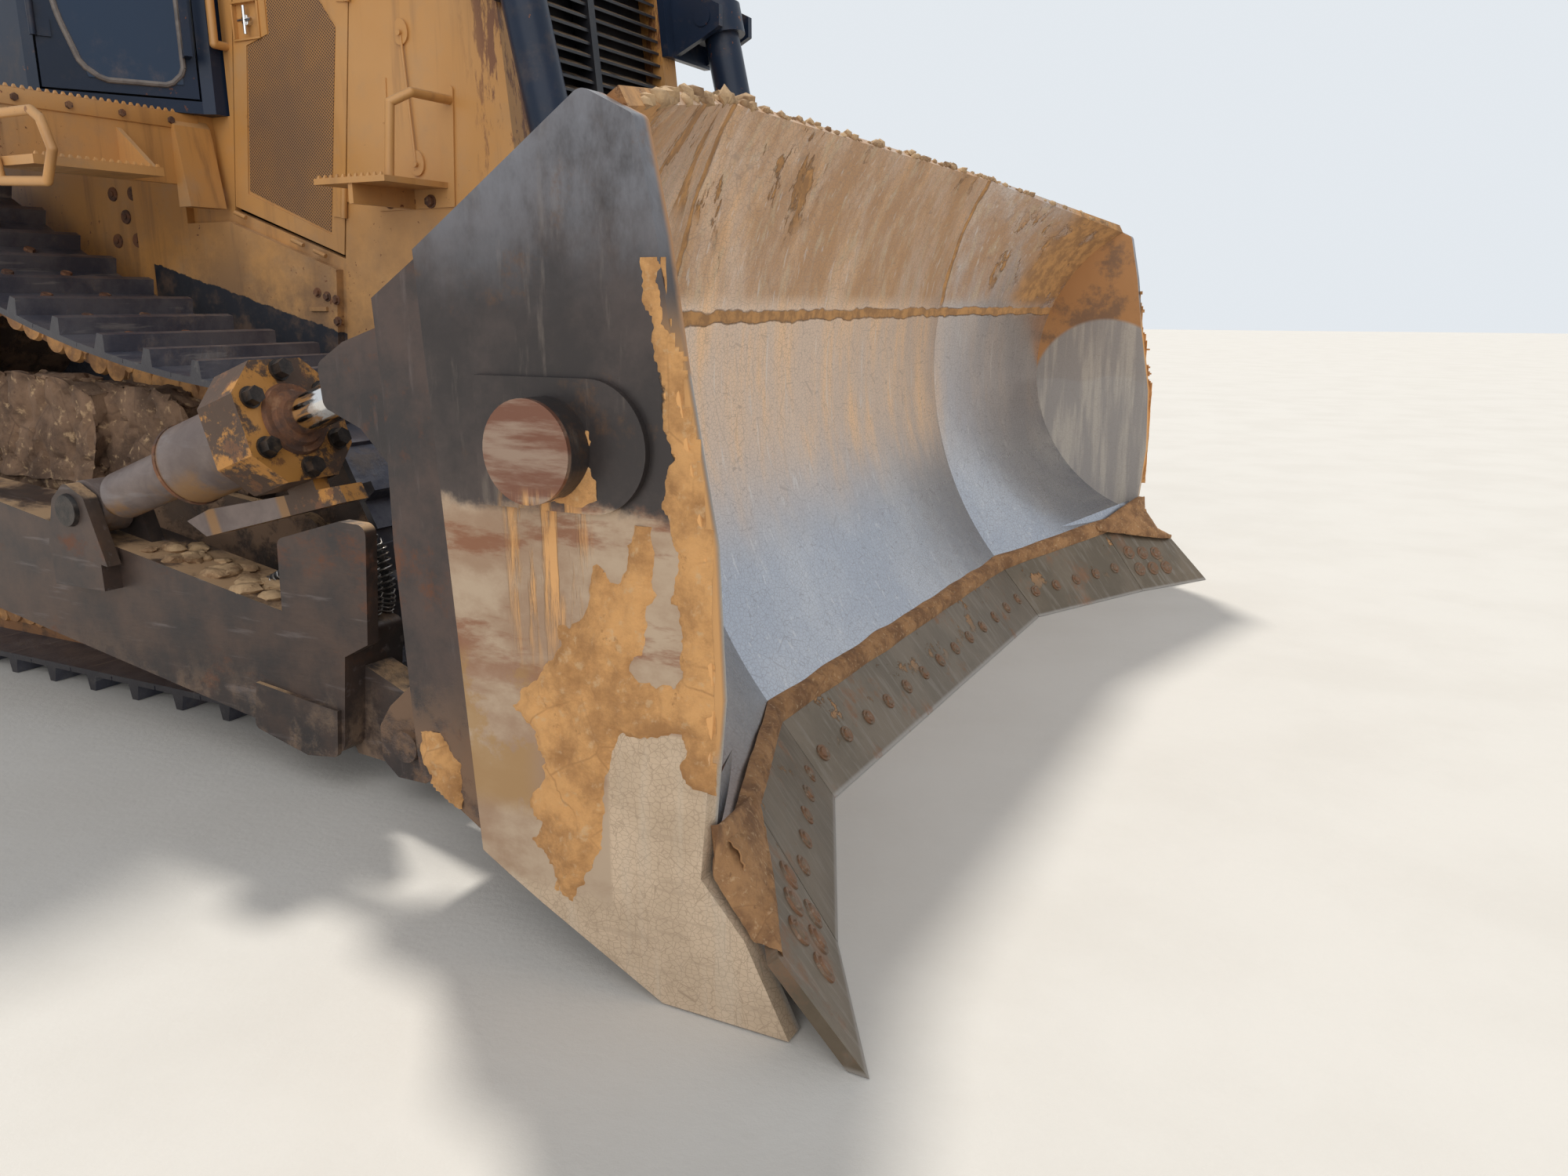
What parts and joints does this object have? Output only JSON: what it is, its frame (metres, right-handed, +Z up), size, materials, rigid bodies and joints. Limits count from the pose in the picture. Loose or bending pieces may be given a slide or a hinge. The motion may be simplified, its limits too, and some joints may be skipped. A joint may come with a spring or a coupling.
{
  "type": "bulldozer",
  "caption": "Crawler bulldozer with elevated drive sprockets, a semi-U blade on push arms with tilt and lift cylinders, and a closed cab.",
  "frame": {"origin": "on the ground under the middle of the machine's length and width", "axes": "+X forward to the blade, +Y to the machine's left, +Z up"},
  "size_m": [7, 4.56, 3.95],
  "materials": {
    "yellow_paint": "faded orange-yellow paint with rust and dust",
    "dark_paint": "dark blue-black paint, dusty",
    "black_paint": "black paint, matt",
    "track_steel": "worn track steel with dried soil",
    "cast_iron": "oily dark castings",
    "worn_steel": "worn steel with rust",
    "polished_steel": "steel polished by soil, with rust streaks",
    "rusty_steel": "heat-rusted steel",
    "rod_chrome": "hard chrome",
    "glass": "clear glass",
    "seat_cover": "black seat cover",
    "black_plastic": "matt black",
    "dried_mud": "dried brown mud",
    "lamp_glass": "lamp lens"
  },
  "bodies": {
    "chassis": {"access_panels": "yellow_paint", "air_cleaner": "black_paint", "belly_guard": "dark_paint", "cab_floor_pan": "dark_paint", "cab_front_wall": "dark_paint", "cab_glass": "glass", "cab_rear_wall": "dark_paint", "cab_roof_panel": "dark_paint", "cab_sides": "dark_paint", "canopy": "yellow_paint", "dash": "black_plastic", "drawbar": "worn_steel", "engine_block": "cast_iron", "engine_panels": "yellow_paint", "equalizer_bar": "cast_iron", "exhaust_stack": "rusty_steel", "fenders": "yellow_paint", "final_drives": "dark_paint", "front_crossmember": "dark_paint", "fuel_tank": "yellow_paint", "grab_rails": "yellow_paint", "guard_steps": "yellow_paint", "hood": "yellow_paint", "hull_sides": "dark_paint", "idlers": "cast_iron", "lamps": "lamp_glass", "lift_yokes": "yellow_paint", "pivot_shaft": "cast_iron", "radiator_core": "cast_iron", "radiator_grille": "black_paint", "radiator_guard": "yellow_paint", "rear_case": "dark_paint", "rollover_posts": "yellow_paint", "seat": "seat_cover", "sprockets": "cast_iron", "track_frames": "dark_paint", "track_mud": "dried_mud", "track_rollers": "cast_iron", "tracks": "track_steel"},
    "push_arms": {"push_arms": "yellow_paint"},
    "blade": {"moldboard": "polished_steel", "cutting_edges": "worn_steel", "end_bits": "worn_steel", "end_plates": "worn_steel", "blade_frame": "yellow_paint"},
    "tilt_cylinder_right": {"tilt_cylinder_right": "yellow_paint"},
    "tilt_cylinder_left": {"tilt_cylinder_left": "yellow_paint"},
    "tilt_rod_right": {"tilt_rod_right": "rod_chrome"},
    "tilt_rod_left": {"tilt_rod_left": "rod_chrome"},
    "lift_cylinder_right": {"lift_cylinder_right": "yellow_paint"},
    "lift_cylinder_left": {"lift_cylinder_left": "yellow_paint"},
    "lift_rod_right": {"lift_rod_right": "rod_chrome"},
    "lift_rod_left": {"lift_rod_left": "rod_chrome"},
    "engine_door_right": {"engine_door_right": "yellow_paint"},
    "engine_door_left": {"engine_door_left": "yellow_paint"},
    "cab_door_right": {"cab_door_right": "dark_paint", "cab_door_glass_right": "glass"},
    "cab_door_left": {"cab_door_left": "dark_paint", "cab_door_glass_left": "glass"}
  },
  "joints": [
    {"name": "blade_lift", "type": "hinge", "parent": "chassis", "child": "push_arms", "pos_m": [-0.66, 0, 0.64], "axis": [0, -1, 0], "range_deg": [-9.9, 22.5]},
    {"name": "blade_pitch", "type": "hinge", "parent": "push_arms", "child": "blade", "pos_m": [1.9, 0, 0.19], "axis": [0, 1, 0], "range_deg": [-5, 5]},
    {"name": "tilt_barrel_swing_right", "type": "hinge", "parent": "push_arms", "child": "tilt_cylinder_right", "pos_m": [0.646, -1.69, 0.764], "axis": [0, -1, 0], "range_deg": [-1.2, 1.2]},
    {"name": "tilt_rod_slide_right", "type": "slide", "parent": "tilt_cylinder_right", "child": "tilt_rod_right", "axis": [0.9458, 0, 0.3248], "range_m": [-0.084, 0.084]},
    {"name": "lift_barrel_swing_right", "type": "hinge", "parent": "chassis", "child": "lift_cylinder_right", "pos_m": [1.553, -0.67, 2.52], "axis": [0, -1, 0], "range_deg": [-2, 4.55]},
    {"name": "lift_rod_slide_right", "type": "slide", "parent": "lift_cylinder_right", "child": "lift_rod_right", "axis": [0.2167, 0, -0.9762], "range_m": [-1.017, 0.448]},
    {"name": "engine_door_right", "type": "hinge", "parent": "chassis", "child": "engine_door_right", "pos_m": [0.6, -0.579, 1.545], "axis": [0.1381, 0, 0.9904], "range_deg": [0, 90]},
    {"name": "cab_door_right", "type": "hinge", "parent": "chassis", "child": "cab_door_right", "pos_m": [-0.26862, -1.1143, 2.7], "axis": [0, 0, -1], "range_deg": [0, 100]},
    {"name": "tilt_barrel_swing_left", "type": "hinge", "parent": "push_arms", "child": "tilt_cylinder_left", "pos_m": [0.646, 1.69, 0.764], "axis": [0, -1, 0], "range_deg": [-1.2, 1.2]},
    {"name": "tilt_rod_slide_left", "type": "slide", "parent": "tilt_cylinder_left", "child": "tilt_rod_left", "axis": [0.9458, 0, 0.3248], "range_m": [-0.084, 0.084]},
    {"name": "lift_barrel_swing_left", "type": "hinge", "parent": "chassis", "child": "lift_cylinder_left", "pos_m": [1.553, 0.67, 2.52], "axis": [0, -1, 0], "range_deg": [-2, 4.55]},
    {"name": "lift_rod_slide_left", "type": "slide", "parent": "lift_cylinder_left", "child": "lift_rod_left", "axis": [0.2167, 0, -0.9762], "range_m": [-1.017, 0.448]},
    {"name": "engine_door_left", "type": "hinge", "parent": "chassis", "child": "engine_door_left", "pos_m": [0.6, 0.579, 1.545], "axis": [-0.1381, 0, -0.9904], "range_deg": [0, 90]},
    {"name": "cab_door_left", "type": "hinge", "parent": "chassis", "child": "cab_door_left", "pos_m": [-0.26862, 1.1143, 2.7], "axis": [0, 0, 1], "range_deg": [0, 100]}
  ],
  "couplings": [
    {"joint": "tilt_barrel_swing_right", "follows": "blade_pitch", "ratio": -0.2233},
    {"joint": "tilt_rod_slide_right", "follows": "blade_pitch", "m_per_rad": 0.95},
    {"joint": "lift_barrel_swing_right", "follows": "blade_lift", "ratio": 0.2},
    {"joint": "lift_rod_slide_right", "follows": "blade_lift", "m_per_rad": -2.585},
    {"joint": "tilt_barrel_swing_left", "follows": "blade_pitch", "ratio": -0.2233},
    {"joint": "tilt_rod_slide_left", "follows": "blade_pitch", "m_per_rad": 0.95},
    {"joint": "lift_barrel_swing_left", "follows": "blade_lift", "ratio": 0.2},
    {"joint": "lift_rod_slide_left", "follows": "blade_lift", "m_per_rad": -2.585}
  ]
}
